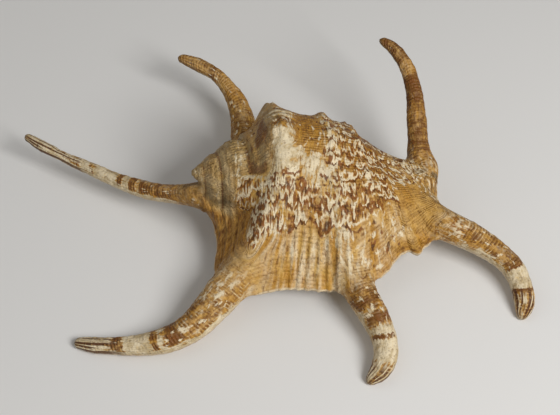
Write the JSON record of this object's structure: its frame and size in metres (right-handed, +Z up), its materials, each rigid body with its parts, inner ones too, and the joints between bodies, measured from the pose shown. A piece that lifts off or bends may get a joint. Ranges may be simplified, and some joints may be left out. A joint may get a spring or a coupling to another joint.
{
  "type": "spider conch seashell",
  "caption": "Large spider conch shell lying mouth down: low spire, knobbed body, flared scalloped lip and long curved horns, mottled cream and red-brown.",
  "frame": {"origin": "centre of the bounding box's footprint, on the surface that the shell rests on", "axes": "+Z up; +X along the length, from the spire's horns towards the siphon end; the lip spreads towards -Y"},
  "size_m": [0.2182, 0.1602, 0.0597],
  "materials": {
    "shell": "natural shell: satin, cream and golden tan with red-brown flecks, bands on the horns, paler and glossier round the mouth"
  },
  "bodies": {
    "root": {"shell": "shell"}
  },
  "joints": []
}
